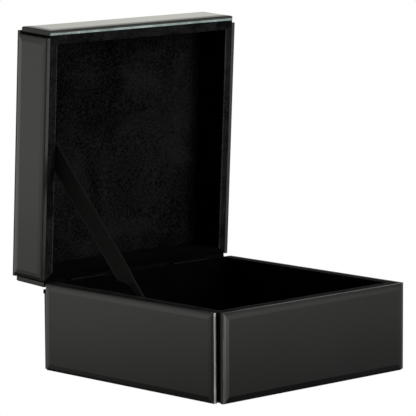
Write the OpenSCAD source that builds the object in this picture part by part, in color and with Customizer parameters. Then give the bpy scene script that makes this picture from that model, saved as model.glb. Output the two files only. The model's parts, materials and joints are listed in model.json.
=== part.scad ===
// Square trinket box: a black board carcass faced with bevelled glass panels,
// lined with velvet, with a lid on two butt hinges that a ribbon stay stops open.
// The origin is the middle of the face it rests on, at floor level. Front is -Y.
// The lid is drawn open; its parts are laid out closed and then swung back.

/* [Box] */
// Width over the glass, left to right
box_w = 140; // [100:1:200]
// Depth over the glass, front to back
box_d = 140; // [100:1:200]
// Height of the base, up to its velvet rim
base_h = 47.6; // [40:0.1:80]
// Height of the lid, from its velvet rim to the top glass
lid_h = 27.9; // [26:0.1:45]
// Gap between the two velvet rims when the lid is shut
rim_gap = 0.3; // [0.2:0.1:1]
// How far the ribbon stay lets the lid open, in degrees
open_angle = 87; // [80:1:95]

/* [Glass] */
// Thickness of the glass panels
glass_t = 3; // [2.5:0.1:4]
// Width of the bevel round each panel's face
bevel_w = 3.5; // [2:0.1:5]
// Depth ground away at the outside of the bevel
bevel_d = 0.4; // [0.2:0.05:0.8]
// Size of the chamfer that breaks the bevel's outer edge
seam = 0.5; // [0.2:0.1:0.8]
// How far front, back and top panels run past the carcass at each end
wide_overhang = 0.2; // [0:0.1:0.5]
// How far side panels stop short of the back of the panel they meet
side_panel_gap = 1.3; // [1.2:0.1:2.2]
// How much shorter the base's front panel is at its left end, and twice that at its right
front_glass_cut = 0.6; // [0:0.1:1]
// How much shorter the base's left panel is at its front end
left_glass_cut = 0.6; // [0:0.1:1]
// How much further forward the base's right panel reaches than the left one
right_glass_reach = 1.9; // [0:0.1:2]
// How far the glass stays below the velvet rim
glass_drop = 0.3; // [0.1:0.1:0.6]
// Height of the base glass above the surface that the felt rests on
glass_lift = 0.2; // [0.2:0.1:1]

/* [Carcass] */
// Thickness of the wall boards
wall_t = 4; // [3.5:0.1:6]
// Thickness of the base's floor board and of the lid's top board
floor_t = 3; // [2:0.1:5]
// Thickness of the felt under the base
felt_t = 1.2; // [0.8:0.1:3]
// How far the felt is set in from the carcass
felt_inset = 2; // [0.5:0.5:5]

/* [Lining] */
// Thickness of the velvet-covered cards on the walls
lining_t = 1; // [0.6:0.1:2]
// Thickness of the velvet over the rims
rim_t = 0.6; // [0.4:0.1:1]
// Thickness of the padded floor of the base
floor_pad_t = 4; // [2:0.5:8]
// Thickness of the padded panel inside the lid
top_pad_t = 2; // [1:0.5:4]

/* [Hinges] */
// Distance of each hinge from the middle of the box
hinge_x = 38; // [25:1:42]
// Length of a hinge along its pin
hinge_l = 25; // [20:1:30]
// Height of one leaf, from the pin's axis to its far edge
leaf_h = 9; // [7:0.5:11]
// Thickness of a leaf
leaf_t = 0.7; // [0.5:0.1:1]
// Radius of the knuckles
knuckle_r = 1.4; // [1.2:0.1:1.7]
// Radius of the pin
pin_r = 0.5; // [0.4:0.05:0.6]
// How far the pin's axis stands out from the back of the boards
pin_out = 0.3; // [0.2:0.05:0.9]
// How far the pin's axis lies below the middle of the gap between the rims
pin_drop = 1; // [0.9:0.05:1.2]
// Gap between neighbouring knuckles
knuckle_gap = 0.2; // [0.1:0.05:0.4]
// Distance between the two screws of a leaf
screw_pitch = 15; // [12:1:18]
// Height of the black strip above the base's back glass
trim_h = 2.2; // [1.5:0.1:4]

/* [Stay] */
// Width of the ribbon
stay_w = 12; // [8:0.5:20]
// Thickness of the ribbon
stay_t = 0.8; // [0.4:0.1:1.5]
// Gap between the ribbon and the lining behind it
stay_gap = 0.1; // [0.05:0.05:0.5]
// Forward distance from the pin's axis to the ribbon's end in the base
stay_base_reach = 65.2; // [40:0.1:90]
// Depth of the ribbon's lower end below the base's rim
stay_base_depth = 9.4; // [5:0.1:20]
// Forward distance from the pin's axis to the ribbon's end in the lid
stay_lid_reach = 87.1; // [60:0.1:110]
// Depth of the ribbon's upper end inside the lid's rim
stay_lid_depth = 10.6; // [5:0.1:18]

/* [Hidden] */
$fn = 48;

glass_black = [0.05, 0.05, 0.06];
board_black = [0.1, 0.09, 0.09];
velvet_black = [0.03, 0.03, 0.035];
steel_grey = [0.55, 0.55, 0.56];

// Quarter turns that bring a panel built for the front round to each side
FRONT = 0;
RIGHT = 1;
BACK = 2;
LEFT = 3;

// Half sizes of the carcass and of the space inside the linings
carcass_x = box_w / 2 - glass_t;
carcass_y = box_d / 2 - glass_t;
lining_x = carcass_x - wall_t;
lining_y = carcass_y - wall_t;
room_x = lining_x - lining_t;
room_y = lining_y - lining_t;

// Heights in the base
base_board_top = base_h - rim_t;
base_glass_top = base_h - glass_drop;
floor_top = felt_t + floor_t;

// Heights in the shut lid
lid_rim_z = base_h + rim_gap;
lid_board_z = lid_rim_z + rim_t;
lid_glass_z = lid_rim_z + glass_drop;
lid_top_z = lid_rim_z + lid_h;
lid_top_glass_z = lid_top_z - glass_t;
lid_top_board_z = lid_top_glass_z - floor_t;
lid_side_glass_top = lid_top_glass_z - side_panel_gap;

// The pin's axis, along X just behind the boards
hinge_y = carcass_y + pin_out;
hinge_z = base_h + rim_gap / 2 - pin_drop;
bore_r = pin_r + 0.05;
knuckle_l = (hinge_l - 2 * knuckle_gap) / 3;
knuckle_step = knuckle_l + knuckle_gap;
knuckle_room = knuckle_r + 0.35;
pin_head_r = 0.8;
pin_head_t = 0.4;

// A rebate along the back of both rims gives the knuckles and the lid's back edge room to turn
rebate_y = hinge_y - knuckle_r - 0.5;
base_rebate_z = base_h - 4.1;
lid_rebate_z = hinge_z + knuckle_r + 0.75;
base_back_glass_top = base_rebate_z - trim_h;

// Countersunk screws, set in pilot holes a little larger than their shanks
screw_r = 0.6;
screw_head_r = 1.35;
screw_l = 3.2;
screw_slot = 0.35;
pilot_r = screw_r + 0.05;
screw_z = leaf_h - 2.6;

// Half extent of the panels on a side, by whether it is a wide or a side panel
function panel_half(side) =
    side % 2 == 0 ? carcass_x + wide_overhang : carcass_y - side_panel_gap;

// Distance from the middle of the box to the carcass's face on a side
function face_at(side) = side % 2 == 0 ? carcass_y : carcass_x;

// Where a point of the shut lid goes when the lid is open, as [y, z]
function opened(y, z) = [
    hinge_y + (y - hinge_y) * cos(open_angle) + (z - hinge_z) * sin(open_angle),
    hinge_z - (y - hinge_y) * sin(open_angle) + (z - hinge_z) * cos(open_angle)
];

module swung_open() {
    translate([0, hinge_y, hinge_z])
        rotate([-open_angle, 0, 0])
            translate([0, -hinge_y, -hinge_z])
                children();
}

// A block between two corners
module block(low, high) {
    translate(low) cube(high - low);
}

module on_side(side) {
    rotate([0, 0, 90 * side]) children();
}

// Outline of a bevelled panel's section, glued face at 0
module bevel_section(half) {
    polygon([
        [-half, 0],
        [half, 0],
        [half, glass_t - bevel_d - seam],
        [half - seam, glass_t - bevel_d],
        [half - bevel_w, glass_t],
        [-half + bevel_w, glass_t],
        [-half + seam, glass_t - bevel_d],
        [-half, glass_t - bevel_d - seam]
    ]);
}

// A panel lying face up, its four bevels meeting in mitres
module bevelled_panel(half_w, half_l) {
    intersection() {
        rotate([90, 0, 0])
            linear_extrude(2 * half_l, center = true)
                bevel_section(half_w);
        rotate([90, 0, 90])
            linear_extrude(2 * half_w, center = true)
                bevel_section(half_l);
    }
}

// A panel standing on one side of the box, between two heights. extra lengthens it at its
// left and right ends, as seen from outside.
module side_glass(side, low, high, extra = [0, 0]) {
    color(glass_black)
        on_side(side)
            translate([(extra[1] - extra[0]) / 2, -face_at(side), (low + high) / 2])
                rotate([90, 0, 0])
                    bevelled_panel(panel_half(side) + (extra[0] + extra[1]) / 2, (high - low) / 2);
}

// A wall board: front and back run the full width, the sides fit between them
module wall_board(side, low, high) {
    half = side % 2 == 0 ? carcass_x : lining_y;
    on_side(side)
        block([-half, -face_at(side), low], [half, wall_t - face_at(side), high]);
}

// A lining card: front and back run the full width, the sides fit between them
module wall_lining(side, low, high) {
    half = side % 2 == 0 ? lining_x : room_y;
    color(velvet_black)
        on_side(side)
            block(
                [-half, wall_t - face_at(side), low],
                [half, wall_t + lining_t - face_at(side), high]
            );
}

// The velvet over a rim: a frame, narrower at the back for the rebate
module rim_velvet(low) {
    color(velvet_black)
        difference() {
            block([-carcass_x, -carcass_y, low], [carcass_x, rebate_y, low + rim_t]);
            block([-room_x, -room_y, low - 1], [room_x, room_y, low + rim_t + 1]);
        }
}

// The places of the hinge screws of one leaf row, at a height
module at_screws(z) {
    for (hinge = [-hinge_x, hinge_x], end = [-0.5, 0.5])
        translate([hinge + end * screw_pitch, carcass_y, z])
            children();
}

// A countersunk screw along Y, its head flush with the leaf
module screw() {
    head_l = leaf_t;
    color(steel_grey)
        difference() {
            rotate([90, 0, 0]) {
                cylinder(r1 = screw_head_r, r2 = screw_r, h = head_l);
                cylinder(r = screw_r, h = screw_l);
            }
            block([-screw_head_r, -screw_slot, -screw_slot / 2], [screw_head_r, 1, screw_slot / 2]);
        }
}

// Room for a leaf in the back of a board, with its pilot holes
module leaf_mortises(low, high) {
    for (hinge = [-hinge_x, hinge_x])
        block(
            [hinge - hinge_l / 2, carcass_y - leaf_t, low],
            [hinge + hinge_l / 2, carcass_y + 1, high]
        );
}

module pilot_holes(z) {
    at_screws(z)
        rotate([90, 0, 0])
            cylinder(r = pilot_r, h = screw_l + 0.2);
}

// A leaf below its pin, which lies on the X axis, with knuckles at the given places
module hinge_leaf(knuckles) {
    color(steel_grey)
        difference() {
            union() {
                block(
                    [-hinge_l / 2, -pin_out - leaf_t, -leaf_h],
                    [hinge_l / 2, -pin_out, -knuckle_room]
                );
                for (place = knuckles)
                    translate([place, 0, 0]) {
                        rotate([0, 90, 0])
                            cylinder(r = knuckle_r, h = knuckle_l, center = true);
                        block(
                            [-knuckle_l / 2, -pin_out - leaf_t, -knuckle_room],
                            [knuckle_l / 2, -pin_out, 0]
                        );
                    }
            }
            rotate([0, 90, 0])
                cylinder(r = bore_r, h = hinge_l + 2, center = true);
            for (end = [-0.5, 0.5])
                translate([end * screw_pitch, -pin_out, -screw_z])
                    rotate([90, 0, 0]) {
                        cylinder(r1 = screw_head_r, r2 = screw_r, h = leaf_t);
                        cylinder(r = screw_r, h = leaf_t + 1);
                    }
        }
}

module base_leaf(place) {
    translate([place, hinge_y, hinge_z])
        hinge_leaf([-knuckle_step, knuckle_step]);
}

module lid_leaf(place) {
    swung_open()
        translate([place, hinge_y, hinge_z])
            mirror([0, 0, 1])
                hinge_leaf([0]);
}

// A pin with a small head at each end
module hinge_pin(place) {
    color(steel_grey)
        translate([place, hinge_y, hinge_z])
            rotate([0, 90, 0]) {
                cylinder(r = pin_r, h = hinge_l + 2 * pin_head_t, center = true);
                for (end = [-1, 1])
                    translate([0, 0, end * (hinge_l + pin_head_t) / 2])
                        cylinder(r = pin_head_r, h = pin_head_t, center = true);
            }
}

module base_floor_board() {
    color(board_black)
        block([-lining_x, -lining_y, felt_t], [lining_x, lining_y, floor_top]);
}

module base_wall(side) {
    color(board_black)
        wall_board(side, felt_t, base_board_top);
}

module base_back_board() {
    color(board_black)
        difference() {
            wall_board(BACK, felt_t, base_board_top);
            block([-box_w, rebate_y, base_rebate_z], [box_w, box_d, base_h]);
            leaf_mortises(hinge_z - leaf_h, hinge_z);
            pilot_holes(hinge_z - screw_z);
        }
}

module base_rear_trim() {
    color(board_black)
        block(
            [-panel_half(BACK), carcass_y, base_back_glass_top],
            [panel_half(BACK), box_d / 2, base_rebate_z]
        );
}

module base_floor_pad() {
    color(velvet_black)
        block([-room_x, -room_y, floor_top], [room_x, room_y, floor_top + floor_pad_t]);
}

module base_felt() {
    color(velvet_black)
        block(
            [felt_inset - carcass_x, felt_inset - carcass_y, 0],
            [carcass_x - felt_inset, carcass_y - felt_inset, felt_t]
        );
}

module base_hinge_screws() {
    at_screws(hinge_z - screw_z) screw();
}

module lid_top_board() {
    color(board_black)
        swung_open()
            block([-carcass_x, -carcass_y, lid_top_board_z], [carcass_x, carcass_y, lid_top_glass_z]);
}

module lid_wall(side) {
    color(board_black)
        swung_open()
            wall_board(side, lid_board_z, lid_top_board_z);
}

module lid_back_board() {
    color(board_black)
        swung_open()
            difference() {
                wall_board(BACK, lid_board_z, lid_top_board_z);
                block([-box_w, rebate_y, base_h], [box_w, box_d, lid_rebate_z]);
                leaf_mortises(hinge_z, hinge_z + leaf_h);
                pilot_holes(hinge_z + screw_z);
            }
}

module lid_top_glass() {
    color(glass_black)
        swung_open()
            translate([0, 0, lid_top_glass_z])
                bevelled_panel(carcass_x + wide_overhang, carcass_y + wide_overhang);
}

module lid_top_pad() {
    color(velvet_black)
        swung_open()
            block([-room_x, -room_y, lid_top_board_z - top_pad_t], [room_x, room_y, lid_top_board_z]);
}

module lid_hinge_screws() {
    swung_open()
        at_screws(hinge_z + screw_z)
            screw();
}

// The ribbon, taut between its two glued ends against the left linings
module lid_stay_ribbon() {
    foot = [hinge_y - stay_base_reach, base_h - stay_base_depth];
    head = opened(hinge_y - stay_lid_reach, lid_rim_z + stay_lid_depth);
    rise = head - foot;
    color(velvet_black)
        translate([stay_gap - room_x, foot[0], foot[1]])
            rotate([atan2(rise[1], rise[0]), 0, 0])
                translate([0, 0, -stay_w / 2])
                    cube([stay_t, norm(rise), stay_w]);
}

base_floor_board();
base_wall(FRONT);  // base_front_board
base_back_board();
base_wall(LEFT);  // base_left_board
base_wall(RIGHT);  // base_right_board
side_glass(FRONT, glass_lift, base_glass_top, extra = [-front_glass_cut, -2 * front_glass_cut]);  // base_front_glass
side_glass(BACK, glass_lift, base_back_glass_top);  // base_back_glass
side_glass(LEFT, glass_lift, base_glass_top, extra = [0, -left_glass_cut]);  // base_left_glass
side_glass(RIGHT, glass_lift, base_glass_top, extra = [right_glass_reach, 0]);  // base_right_glass
base_rear_trim();
wall_lining(FRONT, floor_top, base_board_top);  // base_front_lining
wall_lining(BACK, floor_top, base_board_top);  // base_back_lining
wall_lining(LEFT, floor_top, base_board_top);  // base_left_lining
wall_lining(RIGHT, floor_top, base_board_top);  // base_right_lining
base_floor_pad();
rim_velvet(base_board_top);  // base_rim_velvet
base_felt();
lid_top_board();
lid_wall(FRONT);  // lid_front_board
lid_back_board();
lid_wall(LEFT);  // lid_left_board
lid_wall(RIGHT);  // lid_right_board
lid_top_glass();
swung_open() side_glass(FRONT, lid_glass_z, lid_side_glass_top);  // lid_front_glass
swung_open() side_glass(BACK, lid_rebate_z, lid_side_glass_top);  // lid_back_glass
swung_open() side_glass(LEFT, lid_glass_z, lid_side_glass_top);  // lid_left_glass
swung_open() side_glass(RIGHT, lid_glass_z, lid_side_glass_top);  // lid_right_glass
swung_open() wall_lining(FRONT, lid_board_z, lid_top_board_z);  // lid_front_lining
swung_open() wall_lining(BACK, lid_board_z, lid_top_board_z);  // lid_back_lining
swung_open() wall_lining(LEFT, lid_board_z, lid_top_board_z);  // lid_left_lining
swung_open() wall_lining(RIGHT, lid_board_z, lid_top_board_z);  // lid_right_lining
lid_top_pad();
swung_open() rim_velvet(lid_rim_z);  // lid_rim_velvet
base_leaf(-hinge_x);  // left_hinge_base_leaf
base_leaf(hinge_x);  // right_hinge_base_leaf
lid_leaf(-hinge_x);  // left_hinge_lid_leaf
lid_leaf(hinge_x);  // right_hinge_lid_leaf
hinge_pin(-hinge_x);  // left_hinge_pin
hinge_pin(hinge_x);  // right_hinge_pin
base_hinge_screws();
lid_hinge_screws();
lid_stay_ribbon();
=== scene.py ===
import json
import math

import bmesh
import bpy
from mathutils import Matrix, Vector, noise


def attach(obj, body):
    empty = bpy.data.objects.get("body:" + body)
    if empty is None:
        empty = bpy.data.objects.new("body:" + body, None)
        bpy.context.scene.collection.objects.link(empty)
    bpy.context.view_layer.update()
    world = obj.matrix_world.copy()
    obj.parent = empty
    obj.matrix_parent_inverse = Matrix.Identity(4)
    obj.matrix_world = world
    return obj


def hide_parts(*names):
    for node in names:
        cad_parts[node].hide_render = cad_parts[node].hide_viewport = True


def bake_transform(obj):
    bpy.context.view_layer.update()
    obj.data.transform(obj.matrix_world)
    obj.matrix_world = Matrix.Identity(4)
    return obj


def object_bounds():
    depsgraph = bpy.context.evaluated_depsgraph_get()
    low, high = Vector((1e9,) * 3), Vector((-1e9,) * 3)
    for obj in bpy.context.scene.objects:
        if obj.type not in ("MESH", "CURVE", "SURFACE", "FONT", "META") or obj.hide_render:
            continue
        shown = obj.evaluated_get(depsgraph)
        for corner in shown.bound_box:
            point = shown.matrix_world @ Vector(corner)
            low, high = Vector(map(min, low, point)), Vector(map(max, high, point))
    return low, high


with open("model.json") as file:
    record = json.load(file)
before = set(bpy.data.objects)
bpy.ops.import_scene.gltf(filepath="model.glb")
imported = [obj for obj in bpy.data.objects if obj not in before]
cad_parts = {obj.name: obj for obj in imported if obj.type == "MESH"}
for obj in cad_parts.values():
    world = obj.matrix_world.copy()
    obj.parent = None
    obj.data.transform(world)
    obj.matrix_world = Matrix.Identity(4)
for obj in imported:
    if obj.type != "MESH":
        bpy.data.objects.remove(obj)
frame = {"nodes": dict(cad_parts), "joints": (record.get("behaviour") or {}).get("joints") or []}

# A square trinket box of bevelled black glass, lined with velvet, with its lid open.
# Everything is in metres; MM turns the millimetres below into metres.
MM = 0.001
cad_low, cad_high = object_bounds()

# The lid is built shut and then swung back about the hinge to the open, stored pose.
hinge_joint = frame["joints"][0]
hinge_point = Vector(hinge_joint["pos_m"])
open_angle = math.radians(max(hinge_joint["range_deg"]))
SWING = (
    Matrix.Translation(hinge_point)
    @ Matrix.Rotation(-open_angle, 4, "X")
    @ Matrix.Translation(-hinge_point)
)
UNSWING = SWING.inverted()


def shut_box(node):
    """Lowest and highest corner of a CAD node with the lid shut."""
    back = UNSWING if node.startswith("lid_") else Matrix.Identity(4)
    points = [back @ v.co for v in frame["nodes"][node].data.vertices]
    low = Vector([min(p[i] for p in points) for i in range(3)])
    high = Vector([max(p[i] for p in points) for i in range(3)])
    return low, high


# ---------------------------------------------------------------- materials
def math_node(tree, how, *values):
    """A maths node; each value is a number or a socket."""
    node = tree.nodes.new("ShaderNodeMath")
    node.operation = how
    for i, value in enumerate(values):
        if isinstance(value, bpy.types.NodeSocket):
            tree.links.new(value, node.inputs[i])
        else:
            node.inputs[i].default_value = value
    return node.outputs[0]


def ramp_node(tree, fac, stops):
    """A ramp through the given (position, colour) stops, straight between them."""
    node = tree.nodes.new("ShaderNodeValToRGB")
    elements = node.color_ramp.elements
    elements[0].position, elements[0].color = stops[0][0], (*stops[0][1], 1)
    elements[1].position, elements[1].color = stops[-1][0], (*stops[-1][1], 1)
    for place, colour in stops[1:-1]:
        elements.new(place).color = (*colour, 1)
    tree.links.new(fac, node.inputs[0])
    return node.outputs[0]


class Shader:
    """A small helper round one material's node tree."""

    def __init__(self, name, coords="Object"):
        self.material = bpy.data.materials.new(name)
        self.material.use_nodes = True
        self.tree = self.material.node_tree
        self.nodes = self.tree.nodes
        self.links = self.tree.links
        self.nodes.clear()
        surface = self.nodes.new("ShaderNodeOutputMaterial")
        self.bsdf = self.nodes.new("ShaderNodeBsdfPrincipled")
        self.links.new(self.bsdf.outputs[0], surface.inputs[0])
        self.coords = self.nodes.new("ShaderNodeTexCoord").outputs[coords]

    def set(self, **values):
        for key, value in values.items():
            self.bsdf.inputs[key.replace("_", " ")].default_value = value

    def scaled(self, scale):
        mapping = self.nodes.new("ShaderNodeMapping")
        mapping.inputs["Scale"].default_value = scale
        self.links.new(self.coords, mapping.inputs["Vector"])
        return mapping.outputs[0]

    def noise(self, scale, detail=3.0, roughness=0.5, stretch=(1, 1, 1), distortion=0.0):
        tex = self.nodes.new("ShaderNodeTexNoise")
        tex.inputs["Scale"].default_value = scale
        tex.inputs["Detail"].default_value = detail
        tex.inputs["Roughness"].default_value = roughness
        tex.inputs["Distortion"].default_value = distortion
        self.links.new(self.scaled(stretch), tex.inputs["Vector"])
        return tex.outputs["Fac"]

    def wave(self, scale, direction, distortion, detail, detail_scale):
        tex = self.nodes.new("ShaderNodeTexWave")
        tex.wave_type = "BANDS"
        tex.bands_direction = direction
        tex.inputs["Scale"].default_value = scale
        tex.inputs["Distortion"].default_value = distortion
        tex.inputs["Detail"].default_value = detail
        tex.inputs["Detail Scale"].default_value = detail_scale
        self.links.new(self.coords, tex.inputs["Vector"])
        return tex.outputs["Fac"]

    def ramp(self, fac, *stops):
        return ramp_node(self.tree, fac, stops)

    def span(self, fac, low, high, from_low=0.0, from_high=1.0):
        node = self.nodes.new("ShaderNodeMapRange")
        node.inputs["From Min"].default_value = from_low
        node.inputs["From Max"].default_value = from_high
        node.inputs["To Min"].default_value = low
        node.inputs["To Max"].default_value = high
        self.links.new(fac, node.inputs["Value"])
        return node.outputs[0]

    def mix(self, fac, under, colour):
        """The socket under where fac is 0, the plain colour where it is 1."""
        node = self.nodes.new("ShaderNodeMix")
        node.data_type = "RGBA"
        sockets = {socket.name: socket for socket in node.inputs if socket.enabled}
        self.links.new(fac, sockets["Factor"])
        self.links.new(under, sockets["A"])
        sockets["B"].default_value = (*colour, 1)
        return [socket for socket in node.outputs if socket.enabled][0]

    def weigh(self, a, b, share):
        """The given share of a and the rest of b."""
        some_a = math_node(self.tree, "MULTIPLY", a, share)
        some_b = math_node(self.tree, "MULTIPLY", b, 1 - share)
        return math_node(self.tree, "ADD", some_a, some_b)

    def bump(self, height, strength, distance, then=None):
        node = self.nodes.new("ShaderNodeBump")
        node.inputs["Strength"].default_value = strength
        node.inputs["Distance"].default_value = distance
        self.links.new(height, node.inputs["Height"])
        if then is not None:
            self.links.new(then, node.inputs["Normal"])
        return node.outputs[0]

    def link(self, **sockets):
        for key, socket in sockets.items():
            self.links.new(socket, self.bsdf.inputs[key.replace("_", " ")])


GLASS_IOR = 1.52


def black_glass():
    """Polished glass painted black behind: clear gloss, faint smears, some waviness and dust."""
    s = Shader("black_glass")
    s.set(IOR=GLASS_IOR, Specular_IOR_Level=0.5)
    smear = s.noise(18, detail=4, roughness=0.6, stretch=(1, 1, 0.5), distortion=0.6)
    dust = s.span(s.noise(2600, detail=2), 0, 1, from_low=0.74, from_high=0.8)
    base = s.ramp(smear, (0.3, (0.0024, 0.0024, 0.0030)), (0.75, (0.0042, 0.0043, 0.0050)))
    s.link(Base_Color=s.mix(dust, base, (0.02, 0.021, 0.022)))
    s.link(Roughness=s.span(smear, 0.015, 0.06, from_low=0.35, from_high=0.8))
    waves = s.noise(14, detail=1, roughness=0.4)
    s.link(Normal=s.bump(waves, strength=0.25, distance=0.3 * MM))
    return s.material


def glass_edge(name, dark, light, rough):
    """The ground edge of the glass: matt, with soft streaks and a fine grain."""
    s = Shader(name)
    s.set(IOR=GLASS_IOR)
    streaks = s.noise(60, roughness=0.6, distortion=1.2)
    grain = s.noise(1400, detail=2, roughness=0.6)
    tone = s.weigh(streaks, grain, 0.8)
    s.link(Base_Color=s.ramp(tone, (0.36, dark), (0.66, light)))
    s.link(Roughness=s.span(grain, rough, rough + 0.2))
    s.link(Normal=s.bump(tone, strength=0.4, distance=0.2 * MM))
    return s.material


def painted_board():
    """Black paint over the board: a dull, gritty coat with pale specks where it is rubbed."""
    s = Shader("painted_board")
    s.set(Specular_IOR_Level=0.03)
    grain = s.noise(240, detail=5, roughness=0.65, stretch=(1, 1, 3.5))
    specks = s.span(s.noise(1500, detail=2), 0, 1, from_low=0.66, from_high=0.74)
    base = s.ramp(grain, (0.3, (0.0010, 0.0009, 0.0009)), (0.75, (0.0045, 0.0040, 0.0038)))
    s.link(Base_Color=s.mix(specks, base, (0.05, 0.045, 0.040)))
    s.link(Roughness=s.span(grain, 0.5, 0.8))
    s.link(Normal=s.bump(grain, strength=0.5, distance=0.2 * MM))
    return s.material


def velvet(name, low, high, sheen, gloss, patches=55, patchy=0.55):
    """Black velvet: dark pile with a soft sheen, brushed into lighter and darker patches.

    patches is how fine the brushed patches are, patchy their share of the tone against the tufts.
    """
    s = Shader(name)
    s.set(IOR=1.35, Specular_IOR_Level=gloss)
    s.set(Sheen_Weight=sheen, Sheen_Roughness=0.35, Sheen_Tint=(0.80, 0.84, 0.92, 1))
    nap = s.noise(patches, detail=4, roughness=0.6, distortion=0.8)
    tufts = s.noise(900, detail=2, roughness=0.7)
    tone = s.weigh(nap, tufts, patchy)
    s.link(Base_Color=s.ramp(tone, (0.40, low), (0.62, high)))
    s.link(Roughness=s.span(nap, 0.8, 1.0))
    fine = s.bump(tufts, strength=0.7, distance=0.2 * MM)
    s.link(Normal=s.bump(nap, strength=0.3, distance=0.6 * MM, then=fine))
    return s.material


def ribbon_cloth(name, low, high):
    """Woven black ribbon: fine crosswise ribs and a soft satin sheen."""
    s = Shader(name, "UV")
    s.set(Specular_IOR_Level=0.1, Sheen_Weight=0.03, Sheen_Roughness=0.4)
    s.set(Sheen_Tint=(0.8, 0.83, 0.9, 1))
    ribs = s.wave(38.0, "Y", distortion=0.4, detail=2.0, detail_scale=2.0)
    threads = s.noise(60, roughness=0.6, stretch=(14, 1, 1))
    tone = s.weigh(ribs, threads, 0.5)
    s.link(Base_Color=s.ramp(tone, (0.25, low), (0.8, high)))
    s.link(Roughness=s.span(threads, 0.55, 0.8))
    s.link(Normal=s.bump(tone, strength=0.5, distance=0.12 * MM))
    return s.material


def felt_cloth():
    """Grey-black felt: matted fibres without a weave."""
    s = Shader("felt")
    s.set(Specular_IOR_Level=0.1, Sheen_Weight=0.4, Sheen_Roughness=0.6)
    fibres = s.noise(420, detail=6, roughness=0.7, distortion=2.5)
    tone = s.weigh(fibres, s.noise(70), 0.7)
    s.link(Base_Color=s.ramp(tone, (0.3, (0.006, 0.006, 0.007)), (0.7, (0.030, 0.030, 0.033))))
    s.link(Roughness=s.span(fibres, 0.85, 1.0))
    s.link(Normal=s.bump(fibres, strength=0.8, distance=0.4 * MM))
    return s.material


def steel():
    """Blackened steel, brushed along the hinge, with a worn sheen."""
    s = Shader("hinge_steel")
    s.set(Metallic=1.0)
    brushed = s.noise(300, detail=4, roughness=0.6, stretch=(0.12, 1, 1))
    stains = s.noise(90)
    s.link(Base_Color=s.ramp(stains, (0.3, (0.004, 0.004, 0.004)), (0.75, (0.014, 0.0135, 0.013))))
    s.link(Roughness=s.span(brushed, 0.35, 0.55))
    s.link(Normal=s.bump(brushed, strength=0.25, distance=0.08 * MM))
    return s.material


GLASS = black_glass()
# Copies of one ground edge, their colours painted light and shade: a shade that also serves for
# the black paint, a half shade, a glow, and clear, pale and teal light through the glass
EDGE_CLEAR_LIGHT = glass_edge("glass_edge_painted_clear_light", (0.30, 0.31, 0.30), (0.64, 0.65, 0.63), 0.25)
EDGE_GLOW = glass_edge("glass_edge_painted_glow", (0.18, 0.235, 0.235), (0.45, 0.56, 0.56), 0.25)
EDGE_HALF_SHADE = glass_edge("glass_edge_painted_half_shade", (0.008, 0.0083, 0.008), (0.020, 0.0207, 0.0197), 0.3)
EDGE_PALE_LIGHT = glass_edge("glass_edge_painted_pale_light", (0.080, 0.082, 0.080), (0.180, 0.184, 0.178), 0.3)
EDGE_TEAL_LIGHT = glass_edge("glass_edge_painted_teal_light", (0.020, 0.060, 0.050), (0.045, 0.120, 0.100), 0.3)
EDGE_PAINT_AND_SHADE = glass_edge("glass_edge_paint_and_painted_shade", (0.003, 0.004, 0.004), (0.012, 0.014, 0.014), 0.35)
BOARD = painted_board()
# One velvet in shaded and lit copies, its colours painted shade and light: the linings darkest,
# the pads lighter, the rims lighter still, the fold lightest
VELVET_SHADED = velvet(
    "velvet_lining", (0.0002, 0.0002, 0.0002), (0.0018, 0.0018, 0.0019), sheen=0.006, gloss=0.05
)
VELVET_PAD = velvet(
    "velvet_pad", (0.0003, 0.0003, 0.0003), (0.0120, 0.0120, 0.0123), sheen=0.006, gloss=0.04,
    patches=26, patchy=0.42,
)
VELVET_RIM_LIT = velvet(
    "velvet_rim", (0.0015, 0.0015, 0.0016), (0.0150, 0.0150, 0.0153), sheen=0.014, gloss=0.08
)
VELVET_FOLD_HIGHLIGHT = velvet(
    "velvet_fold_painted_highlight", (0.0080, 0.0080, 0.0081), (0.0420, 0.0420, 0.0425), sheen=0.03, gloss=0.08
)
RIBBON = ribbon_cloth("ribbon", (0.0013, 0.0013, 0.0014), (0.0080, 0.0080, 0.0082))
# The selvedge's lighter colours are a painted highlight along the ribbon's edges
SELVEDGE_HIGHLIGHT = ribbon_cloth("ribbon_selvedge_highlight", (0.006, 0.006, 0.006), (0.022, 0.022, 0.022))
FELT = felt_cloth()
STEEL = steel()


# ------------------------------------------------------------------ helpers
def add_object(name, mesh, *materials):
    thing = bpy.data.objects.new(name, mesh)
    bpy.context.scene.collection.objects.link(thing)
    for material in materials:
        thing.data.materials.append(material)
    return thing


def settle(thing, node, smooth=True):
    """Swings a lid piece open, makes it ride on its body and stand for its CAD node."""
    body = "lid" if node.startswith("lid_") else "base"
    if body == "lid":
        thing.data.transform(SWING)
    if smooth:
        thing.data.polygons.foreach_set("use_smooth", [True] * len(thing.data.polygons))
    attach(thing, body)
    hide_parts(node)


def steps(low, high, step, edge):
    """Grid lines from low to high, close together at both ends where the edge is rounded."""
    near = [edge * share for share in (0.0, 0.3, 0.7, 1.0)]
    inner = high - low - 2 * edge
    count = max(1, round(inner / step))
    middle = [edge + inner * i / count for i in range(1, count)]
    far = [high - low - d for d in reversed(near)]
    return [low + d for d in near + middle + far]


# A rounded edge takes at most this share of a block's size
MOST_ROUNDING = 0.49


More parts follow.
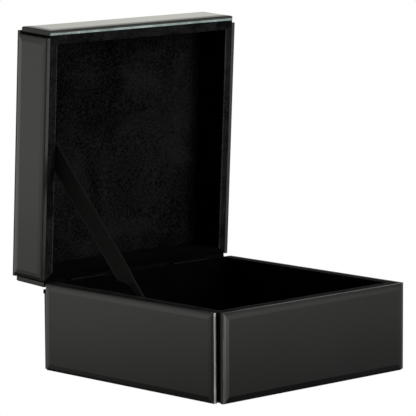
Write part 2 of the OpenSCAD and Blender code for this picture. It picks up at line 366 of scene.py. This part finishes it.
def soft_block(low, high, edge, step, shape):
    """A closed block with rounded edges. shape(point, outward) moves each point."""
    fits = [min(edge, (high[i] - low[i]) * MOST_ROUNDING) for i in range(3)]
    lines = [steps(low[i], high[i], step, fits[i]) for i in range(3)]
    inner_low = Vector([low[i] + fits[i] for i in range(3)])
    inner_high = Vector([high[i] - fits[i] for i in range(3)])
    bm = bmesh.new()
    made = {}

    def corner(i, j, k):
        if (i, j, k) not in made:
            point = Vector((lines[0][i], lines[1][j], lines[2][k]))
            core = Vector([min(max(point[a], inner_low[a]), inner_high[a]) for a in range(3)])
            out = (point - core).normalized()
            made[(i, j, k)] = bm.verts.new(shape(core + out * edge, out))
        return made[(i, j, k)]

    sizes = [len(line) - 1 for line in lines]
    for axis in range(3):
        a, b = (axis + 1) % 3, (axis + 2) % 3
        for end in (0, sizes[axis]):
            for i in range(sizes[a]):
                for j in range(sizes[b]):
                    quad = []
                    for da, db in ((0, 0), (1, 0), (1, 1), (0, 1)):
                        index = [0, 0, 0]
                        index[axis], index[a], index[b] = end, i + da, j + db
                        quad.append(corner(*index))
                    bm.faces.new(quad if end else reversed(quad))
    mesh = bpy.data.meshes.new("soft")
    bm.to_mesh(mesh)
    bm.free()
    return mesh


# -------------------------------------------------------------- glass panels
# The bevel's width and depth
BEVEL_W = 3.5 * MM
BEVEL_D = 0.4 * MM
# How far the corner at the back and the ground seam in front are cut off
ARRIS = 0.06 * MM
SEAM = 0.5 * MM
# The bevel is ground very slightly round: steeper on its outer third
FACET_W = 1.5 * MM
FACET_D = 0.18 * MM

# Axes of a panel on each side: along its width, along its height, and outwards
SIDES = {
    "front": ((1, 0, 0), (0, 0, 1), (0, -1, 0)),
    "back": ((-1, 0, 0), (0, 0, 1), (0, 1, 0)),
    "left": ((0, -1, 0), (0, 0, 1), (-1, 0, 0)),
    "right": ((0, 1, 0), (0, 0, 1), (1, 0, 0)),
    "top": ((1, 0, 0), (0, 1, 0), (0, 0, 1)),
}

# A panel's material slots: the polished glass, then the tones of its edges, which are painted
# light and shade on the ground glass, and the board's paint
EDGE_MATERIALS = [EDGE_PAINT_AND_SHADE, EDGE_HALF_SHADE, EDGE_GLOW, EDGE_TEAL_LIGHT, EDGE_CLEAR_LIGHT, EDGE_PALE_LIGHT, BOARD]
POLISHED, DARK, MID, BRIGHT, TEAL, CLEAR, PALE, PAINTED = range(8)
# The black paint on the back of the glass runs a little way round its edge
PAINT_LINE = 0.15 * MM
# Above it the ground edge has three bands, which can differ where the paint shows through;
# their tones are painted light and shade for light passing through the glass
LOW_BAND, MIDDLE_BAND = 0.7 * MM, 1.3 * MM


def glass_panel(node, side, edges, seams=(DARK, DARK, DARK, DARK)):
    """A bevelled panel with four mitred bevels.

    edges and seams: tones at its (right, top, left, bottom). An edge has one tone with a dark
    outer band, or three tones from its painted side outwards.
    """
    low, high = shut_box(node)
    axes = [Vector(a) for a in SIDES[side]]
    centre = (low + high) / 2
    half = [abs(axes[i].dot(high - low)) / 2 for i in range(3)]
    back = centre - axes[2] * half[2]
    thick = 2 * half[2]
    rings = [
        (ARRIS, 0),
        (0, ARRIS),
        (0, PAINT_LINE),
        (0, LOW_BAND),
        (0, MIDDLE_BAND),
        (0, thick - BEVEL_D - SEAM),
        (SEAM, thick - BEVEL_D),
        (FACET_W, thick - BEVEL_D + FACET_D),
        (BEVEL_W, thick),
    ]
    bm = bmesh.new()

    def ring(inset, rise):
        found = []
        for u, v in ((1, -1), (1, 1), (-1, 1), (-1, -1)):
            along = axes[0] * u * (half[0] - inset) + axes[1] * v * (half[1] - inset)
            found.append(bm.verts.new(back + along + axes[2] * rise))
        return found

    loops = [ring(*r) for r in rings]
    bm.faces.new(reversed(loops[0]))
    for level, (below, above) in enumerate(zip(loops, loops[1:])):
        for i in range(4):
            j = (i + 1) % 4
            face = bm.faces.new((below[i], below[j], above[j], above[i]))
            bands = edges[i] if isinstance(edges[i], tuple) else (edges[i], edges[i], DARK)
            # Board paint on an edge covers its paint line too
            paint = PAINTED if bands[0] == PAINTED else DARK
            tones = (paint, paint, *bands, seams[i], POLISHED, POLISHED)
            face.material_index = tones[level]
    bm.faces.new(loops[-1])
    mesh = bpy.data.meshes.new(node)
    bm.to_mesh(mesh)
    bm.free()
    piece = add_object(node + "_panel", mesh, GLASS, *EDGE_MATERIALS)
    settle(piece, node, smooth=False)


# Each edge's tone is painted light and shade: the glow on the lid's front panel, light through the
# glass on some base edges and seams, and shade or half shade elsewhere
glass_panel("base_front_glass", "front", (MID, MID, DARK, MID), (DARK, DARK, PALE, DARK))
glass_panel("base_left_glass", "left", ((DARK, CLEAR, CLEAR), DARK, MID, MID))
glass_panel("base_right_glass", "right", (MID, DARK, MID, MID))
glass_panel("base_back_glass", "back", (TEAL, DARK, MID, MID))
glass_panel("lid_front_glass", "front", (MID, MID, DARK, BRIGHT))
glass_panel("lid_left_glass", "left", (MID, MID, MID, MID))
glass_panel("lid_right_glass", "right", (MID, MID, MID, MID))
# Its lower edge takes the board's dull black paint: painted shade where it shows in the gap at the
# hinge
glass_panel("lid_back_glass", "back", (MID, MID, MID, (PAINTED, PAINTED, DARK)))
glass_panel("lid_top_glass", "top", (MID, MID, MID, MID))


# ------------------------------------------------------------ velvet pieces
def nap_shift(point, amount, scale, seed):
    """A smooth random number between -amount and amount."""
    return amount * noise.noise(point * scale + Vector((seed * 7.1, seed * 3.7, seed * 1.3)))


# How uneven the velvet lies, and how far its face is set back
LINING_UNEVEN, LINING_SUNK = 0.10 * MM, 0.05 * MM


def lining(node, side, seed):
    """A velvet-covered card: soft edges and a slightly uneven face."""
    low, high = shut_box(node)
    inward = -Vector(SIDES[side][2])

    def shape(point, out):
        if out.dot(inward) > 0.5:
            point = point + inward * (nap_shift(point, LINING_UNEVEN, 90, seed) - LINING_SUNK)
        return point

    mesh = soft_block(low, high, edge=0.3 * MM, step=3 * MM, shape=shape)
    piece = add_object(node + "_velvet", mesh, VELVET_SHADED)
    settle(piece, node)


for part_seed, part in enumerate(("base", "lid")):
    for side_seed, side in enumerate(("front", "back", "left", "right")):
        lining(f"{part}_{side}_lining", side, part_seed * 4 + side_seed)


# How uneven the pad's dome is, and how far its edges are pulled in
PAD_UNEVEN, PAD_PULLED_IN = 0.25 * MM, 0.35 * MM
# How late the pad's dome falls away towards its edges
PAD_FLATNESS = 6


def pad(node, up, crown, seed):
    """A padded velvet panel: crowned, and pulled in at its edges. up is +1 or -1 along Z."""
    low, high = shut_box(node)
    centre = (low + high) / 2
    half = (high - low) / 2
    rise = Vector((0, 0, up))

    def shape(point, out):
        u = abs(point.x - centre.x) / half.x
        v = abs(point.y - centre.y) / half.y
        if out.dot(rise) > 0.3:
            dome = (1 - u**PAD_FLATNESS) * (1 - v**PAD_FLATNESS)
            swell = crown * dome + nap_shift(point, PAD_UNEVEN, 45, seed) * dome
            point = point + rise * (swell - PAD_PULLED_IN * (1 - dome))
        return point

    mesh = soft_block(low, high, edge=0.8 * MM, step=3 * MM, shape=shape)
    piece = add_object(node + "_velvet", mesh, VELVET_PAD)
    settle(piece, node)


pad("base_floor_pad", up=1, crown=1.6 * MM, seed=11)
pad("lid_top_pad", up=-1, crown=0.9 * MM, seed=12)


# Rows of the rim's profile where the velvet turns down inside; they take a painted highlight
FOLD_ROWS = (8, 9)
FRONT_RAIL, RIGHT_RAIL, BACK_RAIL, LEFT_RAIL = range(4)
# The rim's material slots; the shaded pile is painted shade
PLAIN_PILE, HIGHLIGHT_PILE, SHADED_PILE = range(3)
RIM_STEP = 2.5 * MM
# The rim's velvet is uneven above this share of its height
UNEVEN_ABOVE = 0.6
RIM_UNEVEN, RIM_SUNK = 0.08 * MM, 0.03 * MM


def rim(node, up, seed, highlight_rails):
    """Velvet folded over the rim: a frame with a softly rounded top. up is +1 or -1 along Z."""
    low, high = shut_box(node)
    inner_low, inner_high = shut_box(node.split("_")[0] + ("_floor_pad" if up > 0 else "_top_pad"))
    outer = [(low.x, low.y), (high.x, low.y), (high.x, high.y), (low.x, high.y)]
    inner = [
        (inner_low.x, inner_low.y),
        (inner_high.x, inner_low.y),
        (inner_high.x, inner_high.y),
        (inner_low.x, inner_high.y),
    ]
    flat, proud = (low.z, high.z) if up > 0 else (high.z, low.z)
    thick = abs(proud - flat)
    # Across the rim: share of the width from outside to inside, and share of the height
    profile = [
        (0.0, 0.0), (0.0, 0.5), (0.02, 0.78), (0.07, 0.93), (0.16, 0.99), (0.3, 1.0), (0.5, 1.0),
        (0.7, 1.0), (0.84, 0.99), (0.93, 0.93), (0.98, 0.78), (1.0, 0.5), (1.0, 0.0), (0.5, 0.0),
    ]
    bm = bmesh.new()
    columns = []
    rails = []
    for i in range(4):
        j = (i + 1) % 4
        a, b = Vector(outer[i]), Vector(outer[j])
        c, d = Vector(inner[i]), Vector(inner[j])
        count = round((b - a).length / RIM_STEP)
        for n in range(count):
            share = n / count
            out_point, in_point = a.lerp(b, share), c.lerp(d, share)
            column = []
            for across, height in profile:
                flat_point = out_point.lerp(in_point, across)
                point = Vector((flat_point.x, flat_point.y, flat + up * thick * height))
                if height > UNEVEN_ABOVE:
                    point.z += up * (nap_shift(point, RIM_UNEVEN, 130, seed) - RIM_SUNK)
                column.append(bm.verts.new(point))
            columns.append(column)
            rails.append(i)
    for column, nxt, rail in zip(columns, columns[1:] + columns[:1], rails):
        for k in range(len(profile)):
            m = (k + 1) % len(profile)
            quad = (column[k], nxt[k], nxt[m], column[m])
            face = bm.faces.new(quad if up > 0 else reversed(quad))
            pile = HIGHLIGHT_PILE if k in FOLD_ROWS and rail in highlight_rails else PLAIN_PILE
            # Both back rails take the darkest velvet: painted shade near the hinge, under the open
            # lid
            face.material_index = SHADED_PILE if rail == BACK_RAIL else pile
    bmesh.ops.recalc_face_normals(bm, faces=bm.faces)
    mesh = bpy.data.meshes.new(node)
    bm.to_mesh(mesh)
    bm.free()
    piece = add_object(node + "_soft", mesh, VELVET_RIM_LIT, VELVET_FOLD_HIGHLIGHT, VELVET_SHADED)
    settle(piece, node)


rim("base_rim_velvet", up=1, seed=21, highlight_rails=(FRONT_RAIL, RIGHT_RAIL, LEFT_RAIL))
rim("lid_rim_velvet", up=-1, seed=22, highlight_rails=(RIGHT_RAIL, LEFT_RAIL))


# How ragged the felt's outline is, and how uneven its underside
FELT_RAGGED, FELT_UNEVEN = 0.2 * MM, 0.08 * MM


def felt(node, seed):
    """The felt underside: a thin block with a slightly ragged outline."""
    low, high = shut_box(node)

    def shape(point, out):
        if abs(out.z) < 0.8:
            point = point + Vector((out.x, out.y, 0)) * nap_shift(point, FELT_RAGGED, 220, seed)
        elif out.z < 0:
            point = point + Vector((0, 0, abs(nap_shift(point, FELT_UNEVEN, 120, seed))))
        return point

    mesh = soft_block(low, high, edge=0.4 * MM, step=4 * MM, shape=shape)
    piece = add_object(node + "_soft", mesh, FELT)
    settle(piece, node)


felt("base_felt", 31)


# --------------------------------------------------------------- ribbon stay
RIBBON_W = 12 * MM
RIBBON_T = 0.5 * MM
RIBBON_ROWS, RIBBON_COLS = 84, 12
# How far the strip wavers sideways, and how far its edges stand off its middle
RIBBON_SLACK, RIBBON_CUP = 0.25 * MM, 0.10 * MM
# Share of its half width at which the woven edge begins, and how it swells and then thins
SELVEDGE_FROM, SELVEDGE_SWELL, SELVEDGE_THINS = 0.86, 0.25, 0.6
# Shares of the length at which the gather starts and is full
GATHER_TOP, GATHER_FULL = 0.20, 0.10
# The gather's place across the strip, its half width, and how far its pleats stand out
GATHER_AT, GATHER_HALF, PLEAT = 2.6 * MM, 2.2 * MM, 1.0 * MM
PLEAT_WAVES = 1.5


def smooth_step(start, end, value):
    share = min(1.0, max(0.0, (value - start) / (end - start)))
    return share * share * (3 - 2 * share)


def ribbon(node):
    """The stay: one woven strip from the base's left lining to the lid's, nearly taut."""
    points = [v.co for v in frame["nodes"][node].data.vertices]
    ends = sorted(points, key=lambda p: p.y + p.z)
    foot = sum((p for p in ends[:4]), Vector()) / 4
    head = sum((p for p in ends[-4:]), Vector()) / 4
    run = (head - foot).normalized()
    across = Vector((1, 0, 0)).cross(run).normalized()
    length = (head - foot).length
    rows, cols = RIBBON_ROWS, RIBBON_COLS
    bm = bmesh.new()
    uv = bm.loops.layers.uv.new("UVMap")
    grid = {}
    for i in range(rows + 1):
        t = i / rows
        # Near its lower end the strip is gathered: it narrows and pleats as it goes under the rim
        gather = smooth_step(GATHER_TOP, GATHER_FULL, t)
        for j in range(cols + 1):
            w = j / cols * 2 - 1
            edge = max(0.0, abs(w) - SELVEDGE_FROM) / (1 - SELVEDGE_FROM)
            wobble = nap_shift(Vector((t, w * 0.1, 0.3)), RIBBON_SLACK, 6, 41)
            wobble *= math.sin(math.pi * t)
            offset = w * RIBBON_W / 2 * (1 - gather) + (GATHER_AT + w * GATHER_HALF) * gather
            centre = foot + run * (length * t) + across * (offset + wobble)
            # The pleats stand out from the lining only, into the room
            pleats = gather * PLEAT * (1 + math.cos(w * math.pi * PLEAT_WAVES)) / 2
            cup = RIBBON_CUP * w * w + pleats
            weave = SELVEDGE_SWELL * math.sin(math.pi * min(1, edge)) - SELVEDGE_THINS * edge**3
            swell = RIBBON_T / 2 * (1 + weave)
            for face in (0, 1):
                side = 1 if face else -1
                grid[(i, j, face)] = bm.verts.new(centre + Vector((cup + side * swell, 0, 0)))

    def quad(keys, index=0):
        face = bm.faces.new([grid[k] for k in keys])
        face.material_index = index
        for loop, key in zip(face.loops, keys):
            loop[uv].uv = (key[1] / cols, key[0] / rows * length / RIBBON_W)

    for i in range(rows):
        for j in range(cols):
            # The outer columns and the sides take the lighter cloth: a painted highlight along the
            # edges
            index = 1 if j in (0, cols - 1) else 0
            quad([(i, j, 1), (i + 1, j, 1), (i + 1, j + 1, 1), (i, j + 1, 1)], index)
            quad([(i, j, 0), (i, j + 1, 0), (i + 1, j + 1, 0), (i + 1, j, 0)], index)
        quad([(i, 0, 0), (i + 1, 0, 0), (i + 1, 0, 1), (i, 0, 1)], 1)
        quad([(i, cols, 1), (i + 1, cols, 1), (i + 1, cols, 0), (i, cols, 0)], 1)
    for j in range(cols):
        quad([(0, j, 0), (0, j, 1), (0, j + 1, 1), (0, j + 1, 0)])
        quad([(rows, j, 1), (rows, j, 0), (rows, j + 1, 0), (rows, j + 1, 1)])
    bmesh.ops.recalc_face_normals(bm, faces=bm.faces)
    mesh = bpy.data.meshes.new(node)
    bm.to_mesh(mesh)
    bm.free()
    piece = add_object(node + "_woven", mesh, RIBBON, SELVEDGE_HIGHLIGHT)
    piece.data.polygons.foreach_set("use_smooth", [True] * len(piece.data.polygons))
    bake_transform(piece)
    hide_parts(node)


ribbon("lid_stay_ribbon")


# ------------------------------------------------- CAD nodes that stay as they are
BOARD_EDGE, LEAF_EDGE = 0.15 * MM, 0.06 * MM


def finish_node(node, material, bevel):
    """A CAD node with its own material and lightly broken edges."""
    thing = frame["nodes"][node]
    thing.data.materials.clear()
    thing.data.materials.append(material)
    if bevel:
        modifier = thing.modifiers.new("edges", "BEVEL")
        modifier.width = bevel
        modifier.segments = 2
        modifier.limit_method = "ANGLE"
        modifier.angle_limit = math.radians(50)


for node in frame["nodes"]:
    if node.endswith("_board") or node == "base_rear_trim":
        finish_node(node, BOARD, BOARD_EDGE)
    elif "hinge" in node:
        finish_node(node, STEEL, LEAF_EDGE if node.endswith("_leaf") else 0)


# ------------------------------------------------------------ studio and light
# The floor and the wall behind are plain white. What the room lends to the object is the
# world's: brightest in front, bright behind, darker at the sides, above and towards the floor.
BRIGHT_END = math.radians(-72)
# Levels by the angle from the bright end in front
ROUND_STOPS = (
    (0, 4.8), (5, 4.1), (13, 2.3), (18, 1.7), (22.5, 1.1), (25.5, 0.96), (28.6, 0.68),
    (38, 0.7), (46, 0.5), (100, 0.5), (112, 1.2), (118.6, 1.5), (124, 1.2), (134, 0.63),
    (142, 1.0), (154.6, 1.0), (158, 0.93), (167, 1.05), (175, 1.3), (180, 1.3),
)
# A ramp holds nothing over 1, so it is given shares of this level
ROUND_MOST = 7.0
# Shares of the level round about, by the angle above or below the horizon
HEIGHT_STOPS = (
    (-90, 0.06), (-24, 0.11), (-19.6, 0.13), (-18.6, 0.30), (-17.7, 0.45), (-14, 0.40),
    (-11.2, 0.33), (-10.3, 0.57), (-9.6, 0.75), (-8.8, 0.80), (-7.5, 1.0), (-6, 1.0),
    (-2, 0.95), (3, 0.72), (8, 0.7), (30, 0.35), (90, 0.12),
)
WARMTH = (1.0, 1.0, 0.94)


def plain_white(name, mesh):
    """A part of the studio that only the camera sees."""
    material = bpy.data.materials.new(name)
    material.use_nodes = True
    tree = material.node_tree
    tree.nodes.clear()
    white = tree.nodes.new("ShaderNodeEmission")
    surface = tree.nodes.new("ShaderNodeOutputMaterial")
    tree.links.new(white.outputs[0], surface.inputs[0])
    thing = add_object(name, mesh, material)
    for ray in ("diffuse", "glossy", "transmission", "volume_scatter", "shadow"):
        setattr(thing, "visible_" + ray, False)
    return thing


FLOOR_HALF = 8.0
floor_mesh = bpy.data.meshes.new("floor")
corners = [
    (x * FLOOR_HALF, y * FLOOR_HALF, cad_low.z) for x, y in ((-1, -1), (1, -1), (1, 1), (-1, 1))
]
floor_mesh.from_pydata(corners, [], [(0, 1, 2, 3)])
plain_white("studio_floor", floor_mesh)

DOME_RADIUS = 7.5
dome_bm = bmesh.new()
bmesh.ops.create_uvsphere(dome_bm, u_segments=48, v_segments=24, radius=DOME_RADIUS)
dome_mesh = bpy.data.meshes.new("dome")
dome_bm.to_mesh(dome_mesh)
dome_bm.free()
plain_white("studio_wall", dome_mesh)

world = bpy.data.worlds.new("studio")
bpy.context.scene.world = world
world.use_nodes = True
tree = world.node_tree
tree.nodes.clear()


def grey_ramp(angle, stops):
    """Grey levels by angle in degrees, for an angle that is given in half turns."""
    return ramp_node(tree, angle, [(degrees / 180, (level,) * 3) for degrees, level in stops])


place = tree.nodes.new("ShaderNodeTexCoord")
split = tree.nodes.new("ShaderNodeSeparateXYZ")
tree.links.new(place.outputs["Generated"], split.inputs[0])
turn = math_node(tree, "ARCTAN2", split.outputs[1], split.outputs[0])
away = math_node(tree, "COSINE", math_node(tree, "SUBTRACT", turn, BRIGHT_END))
away = math_node(tree, "DIVIDE", math_node(tree, "ARCCOSINE", away), math.pi)
height = math_node(tree, "DIVIDE", math_node(tree, "ARCSINE", split.outputs[2]), math.pi)
# The lowest point, -90 degrees, is where the height's ramp starts
height = math_node(tree, "ADD", height, 0.5)
wall = grey_ramp(away, [(degrees, level / ROUND_MOST) for degrees, level in ROUND_STOPS])
fade = grey_ramp(height, [(degrees + 90, share) for degrees, share in HEIGHT_STOPS])
light = tree.nodes.new("ShaderNodeBackground")
level = math_node(tree, "MULTIPLY", math_node(tree, "MULTIPLY", wall, fade), ROUND_MOST)
tree.links.new(level, light.inputs["Strength"])
light.inputs["Color"].default_value = (*WARMTH, 1)
surface = tree.nodes.new("ShaderNodeOutputWorld")
tree.links.new(light.outputs[0], surface.inputs[0])


# The light is aimed at a point inside the box
LIT_POINT = Vector((0, 0, 80 * MM))


def softbox(name, azimuth, elevation, distance, size, power):
    """An area light aimed at the box. Azimuth -90 is in front of it."""
    light = bpy.data.lights.new(name, "AREA")
    light.shape = "SQUARE"
    light.size = size
    light.energy = power
    lamp = bpy.data.objects.new(name, light)
    bpy.context.scene.collection.objects.link(lamp)
    a, e = math.radians(azimuth), math.radians(elevation)
    aim = Vector((math.cos(a) * math.cos(e), math.sin(a) * math.cos(e), math.sin(e)))
    lamp.location = LIT_POINT + aim * distance
    lamp.rotation_mode = "QUATERNION"
    lamp.rotation_quaternion = aim.to_track_quat("Z", "Y")


softbox("key_light", azimuth=-62, elevation=24, distance=1.8, size=0.9, power=10)

# ------------------------------------------------------------------- camera
# It stands before the box's left front corner and looks a little down at it
CAMERA_AT = Vector((-1.2107, -1.2639, 0.3360))
CAMERA_TURN = math.radians(-43.509)
CAMERA_DOWN = math.radians(8.065)
CAMERA_ROLL = math.radians(-0.300)
CAMERA_LENS = 285.57

view_dir = Vector((
    -math.sin(CAMERA_TURN) * math.cos(CAMERA_DOWN),
    math.cos(CAMERA_TURN) * math.cos(CAMERA_DOWN),
    -math.sin(CAMERA_DOWN),
))
level_right = view_dir.cross(Vector((0, 0, 1))).normalized()
level_up = level_right.cross(view_dir)
right = level_right * math.cos(CAMERA_ROLL) + level_up * math.sin(CAMERA_ROLL)
up = level_up * math.cos(CAMERA_ROLL) - level_right * math.sin(CAMERA_ROLL)
camera_data = bpy.data.cameras.new("camera")
camera_data.sensor_width = 36.0
camera_data.lens = CAMERA_LENS
camera_data.clip_start = 0.05
camera_data.clip_end = 50.0
camera = bpy.data.objects.new("camera", camera_data)
bpy.context.scene.collection.objects.link(camera)
axes = Matrix((right, up, -view_dir)).transposed().to_4x4()
camera.matrix_world = Matrix.Translation(CAMERA_AT) @ axes
bpy.context.scene.camera = camera
bpy.context.scene.view_settings.view_transform = "Standard"
